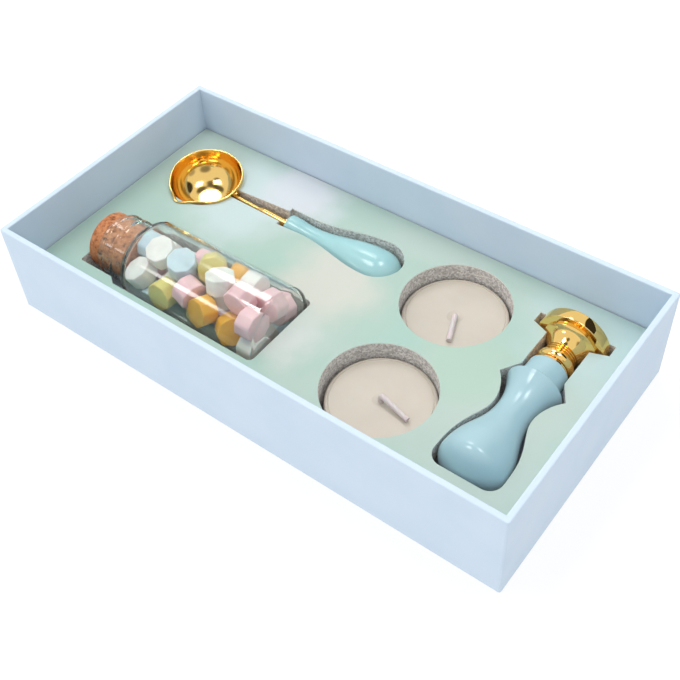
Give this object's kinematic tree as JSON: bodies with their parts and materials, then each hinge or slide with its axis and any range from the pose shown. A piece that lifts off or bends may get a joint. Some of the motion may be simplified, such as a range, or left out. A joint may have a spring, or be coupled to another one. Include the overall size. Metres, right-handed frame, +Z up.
{
  "type": "wax seal set",
  "caption": "Open paper-wrapped tray box with a die-cut insert holding a melting spoon, a corked glass bottle of wax beads, tealights and a turned wax seal stamp.",
  "frame": {"origin": "middle of the tray box's underside", "axes": "+X along the box's length towards the stamp, +Y across it towards the spoon, +Z up out of the tray"},
  "size_m": [0.21, 0.106, 0.038],
  "materials": {
    "box_board": "raw grey board",
    "box_paper": "pale blue matt wrapping paper",
    "lining_paper": "pale blue matt paper",
    "insert_foam": "grey-brown closed-cell foam",
    "insert_card": "matt printed card, mint and cream wash",
    "bottle_glass": "clear gloss",
    "cork": "natural cork",
    "bead_blue": "satin sealing wax",
    "bead_white": "satin sealing wax",
    "bead_yellow": "satin sealing wax",
    "bead_orange": "satin sealing wax",
    "bead_pink": "satin sealing wax",
    "gold_metal": "polished gold",
    "spoon_paint": "aqua gloss paint on wood",
    "stamp_paint": "pale blue gloss paint on wood",
    "candle_wax": "cream wax",
    "wick_cotton": "waxed cotton",
    "sustainer_tin": "tinplate"
  },
  "bodies": {
    "box": {"floor_board": "box_board", "front_wall": "box_board", "back_wall": "box_board", "left_wall": "box_board", "right_wall": "box_board", "wrap_paper": "box_paper", "base_sheet": "box_paper", "floor_lining": "lining_paper"},
    "insert": {"insert_foam": "insert_foam", "insert_card": "insert_card"},
    "spoon": {"spoon_bowl": "gold_metal", "spoon_stem": "gold_metal", "spoon_rivets": "gold_metal", "spoon_handle": "spoon_paint"},
    "bottle": {"bottle_glass": "bottle_glass", "beads_blue": "bead_blue", "beads_white": "bead_white", "beads_yellow": "bead_yellow", "beads_orange": "bead_orange", "beads_pink": "bead_pink"},
    "cork": {"cork": "cork"},
    "candle_1": {"candle_1_wax": "candle_wax", "candle_1_wick": "wick_cotton", "candle_1_sustainer": "sustainer_tin"},
    "candle_2": {"candle_2_wax": "candle_wax", "candle_2_wick": "wick_cotton", "candle_2_sustainer": "sustainer_tin"},
    "stamp": {"stamp_handle": "stamp_paint", "stamp_ferrule": "gold_metal", "stamp_nut": "gold_metal"},
    "stamp_head": {"stamp_head": "gold_metal"}
  },
  "joints": [
    {"name": "insert_lift", "type": "slide", "parent": "box", "child": "insert", "axis": [0, 0, 1], "range_m": [0, 0.045]},
    {"name": "spoon_lift", "type": "slide", "parent": "insert", "child": "spoon", "axis": [0, 0, 1], "range_m": [0, 0.045]},
    {"name": "bottle_lift", "type": "slide", "parent": "box", "child": "bottle", "axis": [0, 0, 1], "range_m": [0, 0.045]},
    {"name": "cork_twist", "type": "hinge", "parent": "bottle", "child": "cork", "pos_m": [-0.0833, -0.02085, 0.0185], "axis": [-1, 0, 0], "continuous": true},
    {"name": "candle_1_lift", "type": "slide", "parent": "box", "child": "candle_1", "axis": [0, 0, 1], "range_m": [0, 0.04]},
    {"name": "candle_2_lift", "type": "slide", "parent": "box", "child": "candle_2", "axis": [0, 0, 1], "range_m": [0, 0.04]},
    {"name": "stamp_lift", "type": "slide", "parent": "box", "child": "stamp", "axis": [0, 0, 1], "range_m": [0, 0.045]},
    {"name": "stamp_head_turn", "type": "hinge", "parent": "stamp", "child": "stamp_head", "pos_m": [0.0791, 0.0197, 0.01525], "axis": [0, 1, 0], "continuous": true}
  ]
}
